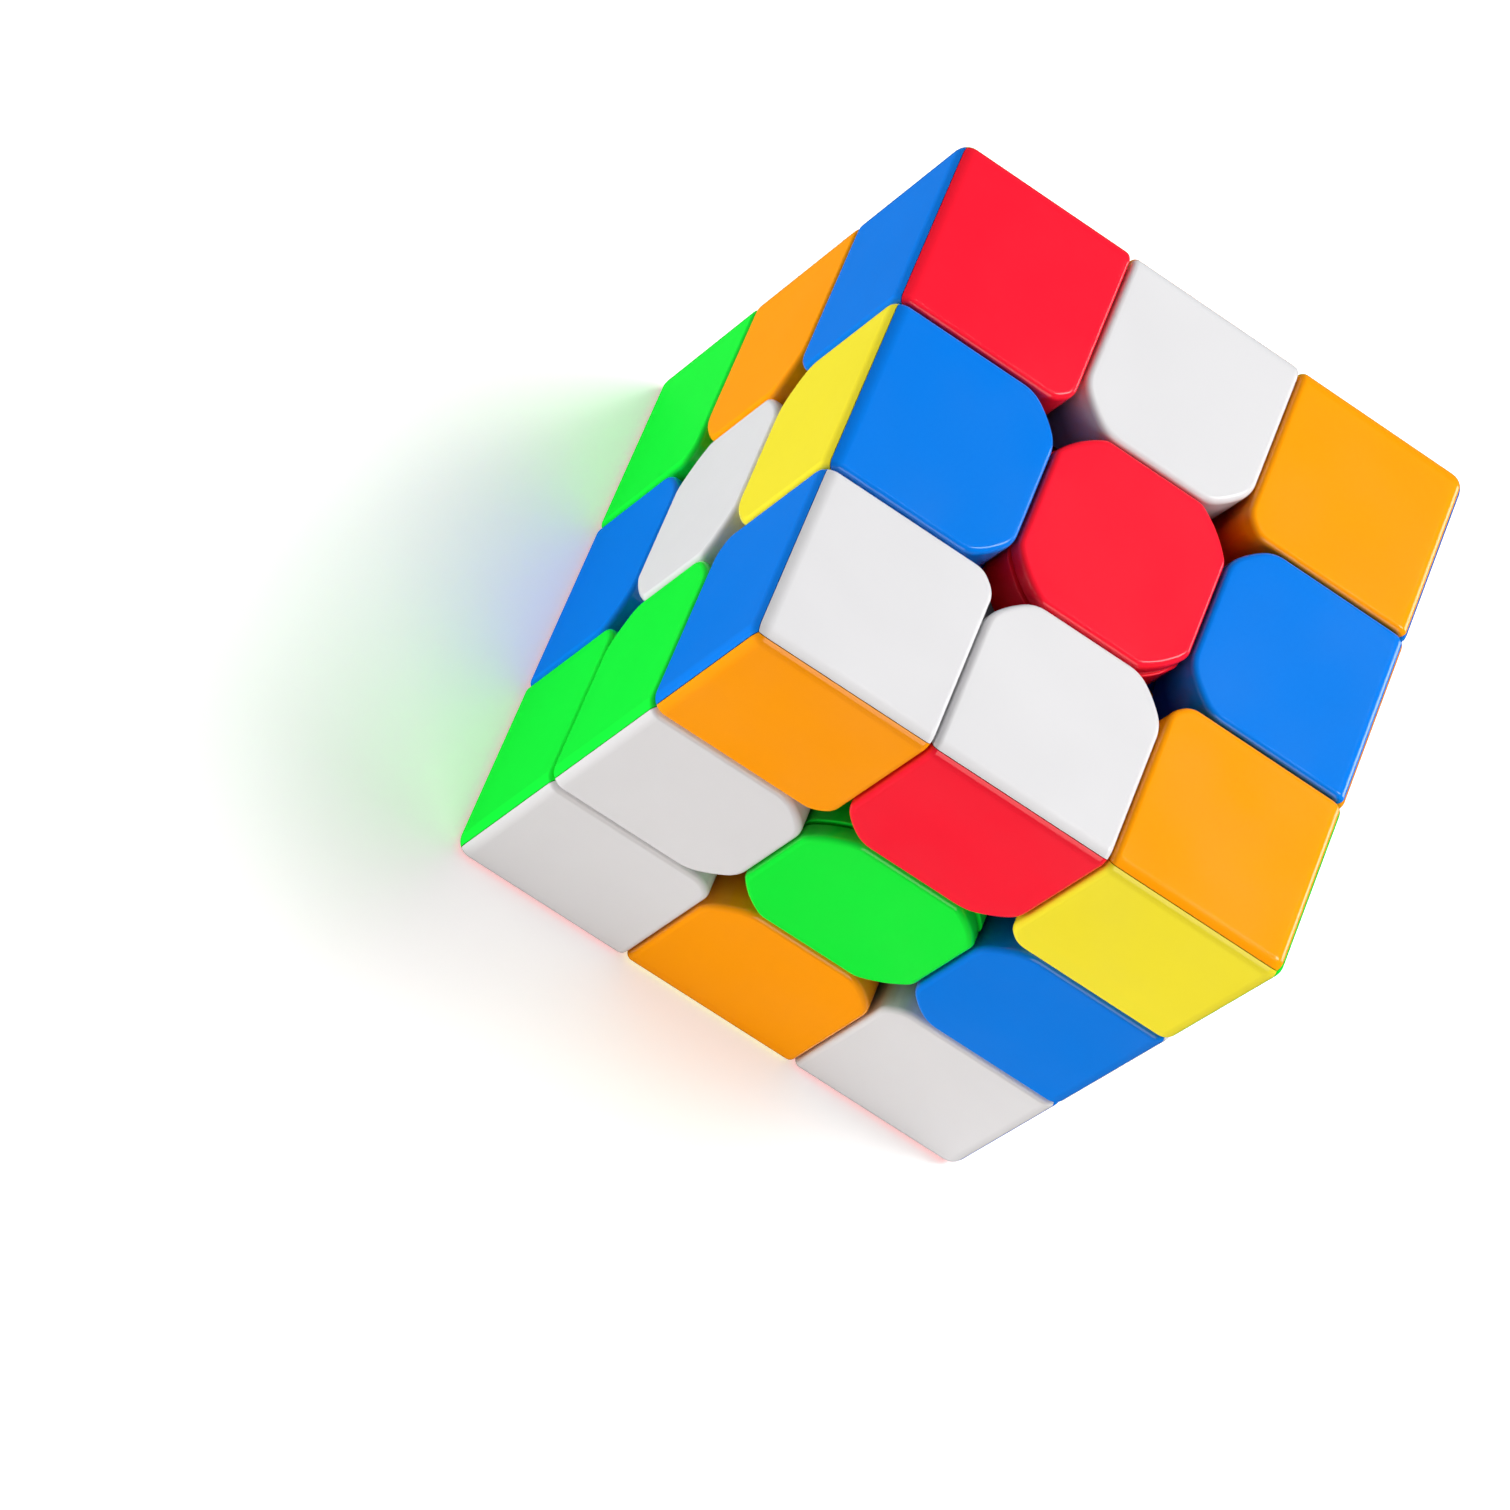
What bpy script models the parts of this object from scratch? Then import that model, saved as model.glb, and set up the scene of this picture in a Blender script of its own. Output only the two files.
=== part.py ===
"""Three-layer twisty puzzle cube, modelled as the pieces it comes apart into.

A six-armed core carries a spring-loaded centre on each arm. Twelve edge pieces
are held under the centres by their feet, and eight corner pieces are held under
the edges. Every piece is cut by the same two sets of planes and by one sphere
around the middle of the core, so any face turns freely about its own arm.

Units are metres, +Z is up, and the origin is the middle of the core.
Run with: blender --background --python part.py
"""

import math

import bmesh
import bpy
from mathutils import Matrix, Vector

# Overall size
CUBE_EDGE = 0.056
HALF = CUBE_EDGE / 2
LAYER_CUT = CUBE_EDGE / 6
GAP = 0.0003
WALL = 0.0014

# How the pieces interlock: outer blocks are cut at LAYER_CUT, feet at FOOT_CUT
FOOT_CUT = 0.0055
FOOT_RADIUS = 0.0237
UNDERSIDE_RADIUS = 0.0243
FOOT_INNER_RADIUS = 0.0125

# Rounding of the outer blocks
OUTER_ROUND = 0.0016
SEAM_ROUND = 0.0005
CORNER_COLUMN_ROUND = 0.0028
SIDE_COLUMN_ROUND = 0.0052

# Centre body and cap
CAP_UNDERSIDE = HALF - 0.0017
PLUG_DEPTH = 0.0016
PLUG_RADIUS = 0.0039
PLUG_BORE = 0.0029
WELL_RADIUS = PLUG_RADIUS + GAP
WELL_FLOOR = 0.0152
STEM_RADIUS = FOOT_CUT - GAP / 2
STEM_END = 0.0134
SHANK_CLEARANCE = 0.0017

# Core, tension screw and spring
HUB_RADIUS = 0.0066
ARM_RADIUS = 0.0037
ARM_END = 0.0129
PILOT_RADIUS = 0.00155
PILOT_FLOOR = 0.0055
SHANK_RADIUS = 0.00125
SHANK_END = 0.0060
HEAD_RADIUS = 0.0032
HEAD_UNDERSIDE = 0.0206
HEAD_HEIGHT = 0.0017
RECESS_LENGTH = 0.0034
RECESS_WIDTH = 0.0008
RECESS_DEPTH = 0.0010
SPRING_RADIUS = 0.0024
SPRING_WIRE_RADIUS = 0.00035
SPRING_TURNS = 4

# Facet counts
BALL_SEGMENTS = 24
HUB_SEGMENTS = 12
ROUND_SEGMENTS = 16
COLUMN_SEGMENTS = 2
COIL_STEPS = 8
WIRE_SIDES = 4

FACES = {
    "up": Vector((0, 0, 1)),
    "down": Vector((0, 0, -1)),
    "front": Vector((0, -1, 0)),
    "back": Vector((0, 1, 0)),
    "left": Vector((-1, 0, 0)),
    "right": Vector((1, 0, 0)),
}

# Plastic and metal: base colour, roughness, metallic
FINISHES = {
    "white": ((0.86, 0.86, 0.86, 1), 0.2, 0.0),
    "yellow": ((0.93, 0.76, 0.02, 1), 0.2, 0.0),
    "red": ((0.86, 0.015, 0.035, 1), 0.2, 0.0),
    "orange": ((0.95, 0.27, 0.0, 1), 0.2, 0.0),
    "green": ((0.0, 0.62, 0.03, 1), 0.2, 0.0),
    "blue": ((0.0, 0.17, 0.75, 1), 0.2, 0.0),
    "core_black": ((0.02, 0.02, 0.022, 1), 0.4, 0.0),
    "steel": ((0.62, 0.62, 0.64, 1), 0.3, 1.0),
}

CENTRE_COLOURS = {
    "up": "red",
    "down": "orange",
    "front": "green",
    "back": "blue",
    "left": "white",
    "right": "yellow",
}

# Colours of the two shells of each edge piece, in the order of its name
EDGE_COLOURS = {
    ("up", "front"): ("white", "red"),
    ("up", "left"): ("blue", "yellow"),
    ("up", "right"): ("blue", "orange"),
    ("up", "back"): ("white", "orange"),
    ("front", "left"): ("white", "green"),
    ("front", "right"): ("blue", "white"),
    ("back", "left"): ("green", "orange"),
    ("back", "right"): ("red", "yellow"),
    ("down", "front"): ("yellow", "orange"),
    ("down", "left"): ("red", "blue"),
    ("down", "right"): ("green", "red"),
    ("down", "back"): ("yellow", "green"),
}

# Colour of the upper or lower shell of each corner piece
CORNER_COLOURS = {
    ("up", "front", "left"): "white",
    ("up", "front", "right"): "orange",
    ("up", "back", "left"): "red",
    ("up", "back", "right"): "orange",
    ("down", "front", "left"): "red",
    ("down", "front", "right"): "red",
    ("down", "back", "left"): "red",
    ("down", "back", "right"): "white",
}


def clear_scene():
    for obj in list(bpy.data.objects):
        bpy.data.objects.remove(obj, do_unlink=True)


def finish_material(name):
    """The named finish as a Principled material, made once."""
    material = bpy.data.materials.get(name)
    if material:
        return material
    colour, roughness, metallic = FINISHES[name]
    material = bpy.data.materials.new(name)
    material.use_nodes = True
    shader = material.node_tree.nodes["Principled BSDF"]
    shader.inputs["Base Color"].default_value = colour
    shader.inputs["Roughness"].default_value = roughness
    shader.inputs["Metallic"].default_value = metallic
    material.diffuse_color = colour
    return material


def piece_frame(primary, secondary):
    """Rotation that takes +Z to one face's side and -Y to another's."""
    z_axis = FACES[primary]
    y_axis = -FACES[secondary]
    x_axis = y_axis.cross(z_axis)
    return Matrix((x_axis, y_axis, z_axis)).transposed().to_4x4()


def mesh_from(bm, name):
    mesh = bpy.data.meshes.new(name)
    bm.to_mesh(mesh)
    bm.free()
    return mesh


def box_bm(low, high):
    bm = bmesh.new()
    bmesh.ops.create_cube(bm, size=1)
    low = Vector(low)
    high = Vector(high)
    size = Matrix.Diagonal(high - low).to_4x4()
    bm.transform(Matrix.Translation((low + high) / 2) @ size)
    return bm


def box_mesh(low, high):
    return mesh_from(box_bm(low, high), "box")


def ball_mesh(radius, segments=BALL_SEGMENTS):
    bm = bmesh.new()
    bmesh.ops.create_uvsphere(bm, u_segments=segments, v_segments=segments // 2, radius=radius)
    return mesh_from(bm, "ball")


def rod_mesh(radius, bottom, top, axis="up"):
    """Round rod along one face's axis, from one height to another."""
    bm = bmesh.new()
    bmesh.ops.create_cone(
        bm,
        cap_ends=True,
        segments=ROUND_SEGMENTS,
        radius1=radius,
        radius2=radius,
        depth=top - bottom,
    )
    bm.transform(Matrix.Translation((0, 0, (top + bottom) / 2)))
    turn = FACES["up"].rotation_difference(FACES[axis])
    bm.transform(turn.to_matrix().to_4x4())
    return mesh_from(bm, "rod")


def round_edges(bm, edges, radius, segments):
    bmesh.ops.bevel(
        bm,
        geom=edges,
        offset=radius,
        offset_type="OFFSET",
        segments=segments,
        profile=0.5,
        affect="EDGES",
        clamp_overlap=True,
    )


def edges_between(bm, *normals):
    """Edges whose two faces look along two of the given directions."""
    wanted = [Vector(normal) for normal in normals]
    found = []
    for edge in bm.edges:
        sides = [face.normal for face in edge.link_faces]
        if all(any(side.dot(want) > 0.99 for want in wanted) for side in sides):
            found.append(edge)
    return found


def combine(name, base, *steps):
    """Bake a chain of exact Booleans: each step is an operation and a mesh."""
    body = bpy.data.objects.new(name, base)
    bpy.context.collection.objects.link(body)
    tools = []
    for operation, mesh in steps:
        tool = bpy.data.objects.new("tool", mesh)
        bpy.context.collection.objects.link(tool)
        tool.display_type = "WIRE"
        tool.hide_render = True
        tools.append(tool)
        cut = body.modifiers.new(operation.lower(), "BOOLEAN")
        cut.operation = operation
        cut.solver = "EXACT"
        cut.object = tool
    depsgraph = bpy.context.evaluated_depsgraph_get()
    baked = bpy.data.meshes.new_from_object(body.evaluated_get(depsgraph))
    for obj in [body, *tools]:
        bpy.data.objects.remove(obj, do_unlink=True)
    baked.name = name
    return baked


def tidy_facets(mesh):
    """Join flat facets, drop doubled points and shade the round ones smooth."""
    bm = bmesh.new()
    bm.from_mesh(mesh)
    bmesh.ops.remove_doubles(bm, verts=bm.verts, dist=2e-6)
    bmesh.ops.dissolve_limit(
        bm,
        angle_limit=math.radians(0.2),
        verts=bm.verts,
        edges=bm.edges,
        use_dissolve_boundaries=False,
    )
    bmesh.ops.triangulate(bm, faces=[face for face in bm.faces if len(face.verts) > 4])
    bmesh.ops.recalc_face_normals(bm, faces=bm.faces)
    bm.to_mesh(mesh)
    bm.free()
    mesh.shade_smooth()
    mesh.set_sharp_from_angle(angle=math.radians(30))
    return mesh


def corner_block(inset):
    """Outer block of the up-front-right corner, or its hollow when inset."""
    near = LAYER_CUT + GAP / 2 + inset
    far = HALF - inset
    bm = box_bm((near, -far, near), (far, -near, far))
    inner = edges_between(bm, (-1, 0, 0), (0, 1, 0), (0, 0, -1))
    segments = 1 if inset else COLUMN_SEGMENTS
    round_edges(bm, inner, CORNER_COLUMN_ROUND - inset, segments)
    if inset == 0:
        outer = edges_between(bm, (1, 0, 0), (0, -1, 0), (0, 0, 1))
        round_edges(bm, outer, OUTER_ROUND, 2)
    return mesh_from(bm, "corner_block")


def make_corner():
    """Corner piece: outer block and foot, hollow, open at the foot's inner end."""
    foot_near = FOOT_CUT + GAP / 2
    foot = combine(
        "foot",
        box_mesh((foot_near, -HALF, foot_near), (HALF, -foot_near, HALF)),
        ("INTERSECT", ball_mesh(FOOT_RADIUS)),
    )
    hollow_near = foot_near + WALL
    foot_hollow = combine(
        "foot_hollow",
        box_mesh((hollow_near, -HALF, hollow_near), (HALF, -hollow_near, HALF)),
        ("INTERSECT", ball_mesh(FOOT_RADIUS - WALL)),
    )
    corner = combine(
        "corner",
        corner_block(0),
        ("UNION", foot),
        ("DIFFERENCE", corner_block(WALL)),
        ("DIFFERENCE", foot_hollow),
        ("DIFFERENCE", ball_mesh(FOOT_INNER_RADIUS)),
    )
    return tidy_facets(corner)


def edge_block(inset):
    """Outer block of the up-front edge piece, or its hollow when inset."""
    side = LAYER_CUT - GAP / 2 - inset
    near = LAYER_CUT + GAP / 2 + inset
    far = HALF - inset
    bm = box_bm((-side, -far, near), (side, -near, far))
    columns = edges_between(bm, (-1, 0, 0), (0, 1, 0))
    columns += edges_between(bm, (1, 0, 0), (0, 1, 0))
    columns += edges_between(bm, (-1, 0, 0), (0, 0, -1))
    columns += edges_between(bm, (1, 0, 0), (0, 0, -1))
    segments = 1 if inset else COLUMN_SEGMENTS
    round_edges(bm, columns, SIDE_COLUMN_ROUND - inset, segments)
    if inset == 0:
        outer = edges_between(bm, (0, -1, 0), (0, 0, 1))
        round_edges(bm, outer, OUTER_ROUND, 2)
    return mesh_from(bm, "edge_block")


def diagonal_slab(start, end):
    """Slab square to the line from the core to the middle of the up-front edge."""
    reach = CUBE_EDGE
    bm = box_bm((-reach, -reach, start), (reach, reach, end))
    bm.transform(Matrix.Rotation(math.radians(45), 4, "X"))
    return mesh_from(bm, "diagonal_slab")


def edge_foot(inset, inner_end):
    """Foot of the up-front edge piece, or its hollow when inset."""
    side = FOOT_CUT - GAP / 2 - inset
    near = FOOT_CUT + GAP / 2 + inset
    return combine(
        "edge_foot",
        box_mesh((-side, -HALF, near), (side, -near, HALF)),
        ("INTERSECT", ball_mesh(FOOT_RADIUS - inset)),
        inner_end,
    )


def edge_neck(inset):
    """Bridge that joins an edge's foot to its block across the sphere cut."""
    side = FOOT_CUT - GAP / 2 - inset
    near = LAYER_CUT + GAP / 2 + inset
    far = UNDERSIDE_RADIUS * math.sqrt(0.5) + WALL
    return box_mesh((-side, -far, near), (side, -near, far))


def make_edge_shell():
    """Upper shell of the up-front edge piece, mitred and open at the mitre."""
    hollow_block = combine(
        "hollow_block",
        edge_block(WALL),
        ("INTERSECT", diagonal_slab(UNDERSIDE_RADIUS + WALL, CUBE_EDGE)),
    )
    foot_end = ("DIFFERENCE", ball_mesh(FOOT_INNER_RADIUS))
    hollow_end = ("INTERSECT", diagonal_slab(FOOT_INNER_RADIUS + WALL, CUBE_EDGE))
    upper_half = box_bm((-CUBE_EDGE, -CUBE_EDGE, GAP / 2), (CUBE_EDGE, CUBE_EDGE, CUBE_EDGE))
    upper_half.transform(Matrix.Rotation(math.radians(-45), 4, "X"))
    shell = combine(
        "edge_shell",
        edge_block(0),
        ("DIFFERENCE", ball_mesh(UNDERSIDE_RADIUS)),
        ("UNION", edge_neck(0)),
        ("UNION", edge_foot(0, foot_end)),
        ("DIFFERENCE", hollow_block),
        ("DIFFERENCE", edge_neck(WALL)),
        ("DIFFERENCE", edge_foot(WALL, hollow_end)),
        ("INTERSECT", mesh_from(upper_half, "upper_half")),
    )
    return tidy_facets(shell)


def tile_bm(bottom, top):
    """Square centre tile with four rounded columns, between two heights."""
    side = LAYER_CUT - GAP / 2
    bm = box_bm((-side, -side, bottom), (side, side, top))
    columns = [edge for edge in bm.edges if abs(edge.verts[0].co.z - edge.verts[1].co.z) > GAP]
    round_edges(bm, columns, SIDE_COLUMN_ROUND, COLUMN_SEGMENTS)
    return bm


def make_centre_body():
    """Skirt and stem of a centre piece, with the well for screw and spring."""
    skirt_top = CAP_UNDERSIDE - GAP
    skirt = mesh_from(tile_bm(LAYER_CUT + GAP, skirt_top), "skirt")
    body = combine(
        "centre_body",
        skirt,
        ("DIFFERENCE", ball_mesh(UNDERSIDE_RADIUS)),
        ("UNION", rod_mesh(STEM_RADIUS, STEM_END, skirt_top - GAP)),
        ("DIFFERENCE", rod_mesh(WELL_RADIUS, WELL_FLOOR, HALF)),
        ("DIFFERENCE", rod_mesh(SHANK_CLEARANCE, 0, HALF)),
    )
    return tidy_facets(body)


def make_centre_cap():
    """Cap of a centre piece, with the round plug that snaps into the well."""
    bm = tile_bm(CAP_UNDERSIDE, HALF)
    rim = [edge for edge in bm.edges if min(vert.co.z for vert in edge.verts) > HALF - GAP]
    round_edges(bm, rim, SEAM_ROUND, 1)
    plug_bottom = CAP_UNDERSIDE - PLUG_DEPTH
    cap = combine(
        "centre_cap",
        mesh_from(bm, "cap_tile"),
        ("UNION", rod_mesh(PLUG_RADIUS, plug_bottom, CAP_UNDERSIDE + GAP)),
        ("DIFFERENCE", rod_mesh(PLUG_BORE, LAYER_CUT, CAP_UNDERSIDE)),
    )
    return tidy_facets(cap)


def make_screw():
    """Flanged tension screw with a cross recess in its head."""
    half_length = RECESS_LENGTH / 2
    half_width = RECESS_WIDTH / 2
    head_top = HEAD_UNDERSIDE + HEAD_HEIGHT
    recess_floor = head_top - RECESS_DEPTH
    slot_x = box_mesh((-half_length, -half_width, recess_floor), (half_length, half_width, HALF))
    slot_y = box_mesh((-half_width, -half_length, recess_floor), (half_width, half_length, HALF))
    screw = combine(
        "tension_screw",
        rod_mesh(HEAD_RADIUS, HEAD_UNDERSIDE, head_top),
        ("UNION", rod_mesh(SHANK_RADIUS, SHANK_END, HEAD_UNDERSIDE + HEAD_HEIGHT / 4)),
        ("DIFFERENCE", slot_x),
        ("DIFFERENCE", slot_y),
    )
    return tidy_facets(screw)


def make_spring():
    """Compression spring between the floor of the well and the screw's head."""
    start = WELL_FLOOR + GAP + SPRING_WIRE_RADIUS
    end = HEAD_UNDERSIDE - GAP - SPRING_WIRE_RADIUS
    steps = SPRING_TURNS * COIL_STEPS
    bm = bmesh.new()
    rings = []
    for step in range(steps + 1):
        angle = math.tau * step / COIL_STEPS
        height = start + (end - start) * step / steps
        ring = []
        for side in range(WIRE_SIDES):
            around = math.tau * side / WIRE_SIDES
            reach = SPRING_RADIUS + SPRING_WIRE_RADIUS * math.cos(around)
            lift = height + SPRING_WIRE_RADIUS * math.sin(around)
            ring.append(bm.verts.new((reach * math.cos(angle), reach * math.sin(angle), lift)))
        rings.append(ring)
    for lower, upper in zip(rings, rings[1:]):
        for side in range(WIRE_SIDES):
            after = (side + 1) % WIRE_SIDES
            bm.faces.new((lower[side], upper[side], upper[after], lower[after]))
    bm.faces.new(rings[0])
    bm.faces.new(reversed(rings[-1]))
    bmesh.ops.recalc_face_normals(bm, faces=bm.faces)
    mesh = mesh_from(bm, "spring")
    mesh.shade_smooth()
    return mesh


def make_core():
    """Hub with six arms, each bored for its tension screw."""
    steps = [("UNION", rod_mesh(ARM_RADIUS, -ARM_END, ARM_END, side)) for side in ("up", "front", "right")]
    steps += [("DIFFERENCE", rod_mesh(PILOT_RADIUS, PILOT_FLOOR, HALF, side)) for side in FACES]
    return tidy_facets(combine("core", ball_mesh(HUB_RADIUS, HUB_SEGMENTS), *steps))


def place(name, mesh, frame, finish):
    """Put one piece into the scene with its own colour, turned about the core."""
    obj = bpy.data.objects.new(name, mesh)
    bpy.context.collection.objects.link(obj)
    obj.matrix_world = frame
    if not obj.material_slots:
        mesh.materials.append(None)
    obj.material_slots[0].link = "OBJECT"
    obj.material_slots[0].material = finish_material(finish)
    return obj


def place_centres():
    body = make_centre_body()
    cap = make_centre_cap()
    screw = make_screw()
    spring = make_spring()
    neighbours = {"up": "front", "down": "back"}
    for face, colour in CENTRE_COLOURS.items():
        frame = piece_frame(face, neighbours.get(face, "up"))
        place(f"{face}_centre_body", body, frame, colour)
        place(f"{face}_centre_cap", cap, frame, colour)
        place(f"{face}_tension_screw", screw, frame, "steel")
        place(f"{face}_spring", spring, frame, "steel")


def place_edges():
    shell = make_edge_shell()
    for (first, second), colours in EDGE_COLOURS.items():
        piece = f"{first}_{second}_edge"
        place(f"{piece}_{first}_shell", shell, piece_frame(first, second), colours[0])
        place(f"{piece}_{second}_shell", shell, piece_frame(second, first), colours[1])


def place_corners():
    corner = make_corner()
    for faces, colour in CORNER_COLOURS.items():
        primary, second, third = faces
        frame = piece_frame(primary, second)
        if frame.to_3x3().col[0].dot(FACES[third]) < 0:
            frame = piece_frame(primary, third)
        place("_".join(faces) + "_corner", corner, frame, colour)


def main():
    clear_scene()
    place("core", make_core(), Matrix.Identity(4), "core_black")
    place_centres()
    place_edges()
    place_corners()


main()
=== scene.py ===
"""Looks of the twisty puzzle cube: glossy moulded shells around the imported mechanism.

Every kind of piece is modelled once and turned to all its places: the corner's up shell
at up-front-right, the edge's up shell at up-front, and the centre, screw and spring on
the up side.
"""

import math

import bmesh
import bpy
from mathutils import Matrix, Quaternion, Vector


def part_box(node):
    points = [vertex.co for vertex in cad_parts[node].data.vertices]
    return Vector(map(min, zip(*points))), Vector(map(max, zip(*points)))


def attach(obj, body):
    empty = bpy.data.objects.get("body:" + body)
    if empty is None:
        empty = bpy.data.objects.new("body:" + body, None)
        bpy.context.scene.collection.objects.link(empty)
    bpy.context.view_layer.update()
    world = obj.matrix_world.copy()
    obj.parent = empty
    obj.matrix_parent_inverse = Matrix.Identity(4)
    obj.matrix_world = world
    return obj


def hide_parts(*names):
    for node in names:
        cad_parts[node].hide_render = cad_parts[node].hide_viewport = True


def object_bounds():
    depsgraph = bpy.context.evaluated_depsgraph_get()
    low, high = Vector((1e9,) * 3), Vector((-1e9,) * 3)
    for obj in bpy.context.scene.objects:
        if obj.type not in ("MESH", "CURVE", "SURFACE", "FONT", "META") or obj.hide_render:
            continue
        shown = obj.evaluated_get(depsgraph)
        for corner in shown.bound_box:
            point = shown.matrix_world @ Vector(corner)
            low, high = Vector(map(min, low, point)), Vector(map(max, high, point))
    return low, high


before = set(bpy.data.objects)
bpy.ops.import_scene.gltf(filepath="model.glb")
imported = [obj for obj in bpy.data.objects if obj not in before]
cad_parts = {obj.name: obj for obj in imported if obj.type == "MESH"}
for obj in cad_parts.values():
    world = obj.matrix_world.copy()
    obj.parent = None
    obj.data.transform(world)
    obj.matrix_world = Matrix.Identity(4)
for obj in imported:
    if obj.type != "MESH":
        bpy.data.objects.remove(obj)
cad_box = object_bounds()

# The cube, in metres, about its core
EDGE = cad_box[1].x - cad_box[0].x
HALF = EDGE / 2
LAYER_CUT = EDGE / 6
PITCH = EDGE / 3
SEAM = 0.00022
MITRE_GAP = 0.00008
WALL = 0.0014

# The mechanism's own surfaces, as in the solids of the frame
FOOT_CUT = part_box("up_front_right_corner")[0].x
FOOT_RADIUS = 0.0237
FOOT_INNER_RADIUS = 0.0125
UNDERSIDE_RADIUS = 0.0243

# Rounding of the tiles: where two faces of the cube meet, and along every seam
OUTER_ROUND = 0.0016
SEAM_ROUND = 0.00062

# A soft corner of a tile is an arc about the tile's middle, blended into both sides
CENTRE_SOFTNESS = {"cut_radius": 0.01058, "blend": 0.0017}
SKIRT_SOFTNESS = {"cut_radius": 0.01075, "blend": 0.0018}
EDGE_SOFTNESS = {"cut_radius": 0.01075, "blend": 0.0034}
CORNER_SOFTNESS = {"cut_radius": 0.0119, "blend": 0.0022}

# A cutting tool stands out of the tile by a margin, and by some chords past its curve
CUT_MARGIN = 0.002
OVERCUT = 4

# Centre pieces
CAP_UNDERSIDE = HALF - 0.0017
SKIRT_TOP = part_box("up_centre_body")[1].z
CAP_FOOT_ROUND = 0.00012
STEM_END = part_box("up_centre_body")[0].z
STEM_RADIUS = 0.00535
WELL_RADIUS = 0.0042
WELL_FLOOR = 0.0152
SHANK_CLEARANCE = 0.0017
PLUG_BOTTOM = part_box("up_centre_cap")[0].z
PLUG_RADIUS = 0.0039
PLUG_BORE = 0.0029

# Screw
SCREW_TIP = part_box("up_tension_screw")[0].z
HEAD_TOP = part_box("up_tension_screw")[1].z
HEAD_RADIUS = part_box("up_tension_screw")[1].x
HEAD_HEIGHT = 0.0017
HEAD_ROUND = 0.0007
SHANK_RADIUS = 0.00125
THREAD_TOP = 0.0150
THREAD_PITCH = 0.0008
THREAD_DEPTH = 0.00022
THREAD_CREST = 0.00138
RECESS_LENGTH = 0.0034
RECESS_WIDTH = 0.0008
RECESS_DEPTH = 0.0010

# Spring
SPRING_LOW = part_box("up_spring")[0].z
SPRING_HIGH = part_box("up_spring")[1].z
SPRING_RADIUS = 0.0024
WIRE_RADIUS = 0.00035
SPRING_TURNS = 4

# Core
HUB_RADIUS = 0.0066
ARM_RADIUS = 0.0037
ARM_END = 0.0129
ARM_ROUND = 0.0004
PILOT_RADIUS = 0.00155
PILOT_FLOOR = 0.0055

# Facets
BALL_SEGMENTS = 96
ROUND_SEGMENTS = 64
OUTER_SEGMENTS = 8
SEAM_SEGMENTS = 5
SMALL_SEGMENTS = 3
ARC_STEPS = 12
BLEND_STEPS = 6
WIRE_SIDES = 12
COIL_STEPS = 40
THREAD_SIDES = 32
THREAD_ROWS = 8

FACES = {
    "up": Vector((0, 0, 1)),
    "down": Vector((0, 0, -1)),
    "front": Vector((0, -1, 0)),
    "back": Vector((0, 1, 0)),
    "left": Vector((-1, 0, 0)),
    "right": Vector((1, 0, 0)),
}

CENTRE_COLOURS = {
    "up": "red",
    "down": "orange",
    "front": "green",
    "back": "blue",
    "left": "white",
    "right": "yellow",
}

EDGE_COLOURS = {
    ("up", "front"): ("white", "red"),
    ("up", "left"): ("blue", "yellow"),
    ("up", "right"): ("blue", "orange"),
    ("up", "back"): ("white", "orange"),
    ("front", "left"): ("white", "green"),
    ("front", "right"): ("blue", "white"),
    ("back", "left"): ("green", "orange"),
    ("back", "right"): ("red", "yellow"),
    ("down", "front"): ("yellow", "orange"),
    ("down", "left"): ("red", "blue"),
    ("down", "right"): ("green", "red"),
    ("down", "back"): ("yellow", "green"),
}

CORNER_COLOURS = {
    ("up", "front", "left"): ("white", "orange", "blue"),
    ("up", "front", "right"): ("orange", "yellow", "green"),
    ("up", "back", "left"): ("red", "yellow", "blue"),
    ("up", "back", "right"): ("orange", "yellow", "blue"),
    ("down", "front", "left"): ("red", "white", "green"),
    ("down", "front", "right"): ("red", "white", "blue"),
    ("down", "back", "left"): ("red", "yellow", "green"),
    ("down", "back", "right"): ("white", "orange", "green"),
}

# Base colour of each moulded plastic
PLASTICS = {
    "white": (0.70, 0.70, 0.715),
    "yellow": (0.88, 0.76, 0.03),
    "red": (0.95, 0.010, 0.032),
    "orange": (1.0, 0.33, 0.0),
    "green": (0.005, 0.85, 0.04),
    "blue": (0.0, 0.185, 0.75),
}
GLOSS_ROUGHNESS = 0.10

# Walls in the gaps lose their polish and get painted shade, darker and deeper in colour, between
# these two depths
SHADED_WALL_DEPTHS = (0.0014, 0.0050)
PAINTED_WALL_SHADES = {"tile": 0.48, "centre": 0.85}
PAINTED_SHADE_DEEPENING = 1.7
POLISHED_SPECULAR = 0.5
WALL_SPECULAR = 0.08
NOISE_MIDDLE = (0.35, 0.7)


# ---------------------------------------------------------------- mesh tools


def mesh_from(bm, name):
    """Finish a bmesh as a mesh."""
    mesh = bpy.data.meshes.new(name)
    bm.to_mesh(mesh)
    bm.free()
    return mesh


def box_bm(low, high):
    bm = bmesh.new()
    bmesh.ops.create_cube(bm, size=1)
    low = Vector(low)
    high = Vector(high)
    bm.transform(Matrix.Translation((low + high) / 2) @ Matrix.Diagonal(high - low).to_4x4())
    return bm


def box_mesh(low, high):
    return mesh_from(box_bm(low, high), "box")


def ball_mesh(radius):
    bm = bmesh.new()
    bmesh.ops.create_uvsphere(
        bm, u_segments=BALL_SEGMENTS, v_segments=BALL_SEGMENTS // 2, radius=radius
    )
    return mesh_from(bm, "ball")


def rod_bm(radius, bottom, top):
    bm = bmesh.new()
    bmesh.ops.create_cone(
        bm,
        cap_ends=True,
        segments=ROUND_SEGMENTS,
        radius1=radius,
        radius2=radius,
        depth=top - bottom,
    )
    bm.transform(Matrix.Translation((0, 0, (top + bottom) / 2)))
    return bm


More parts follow.
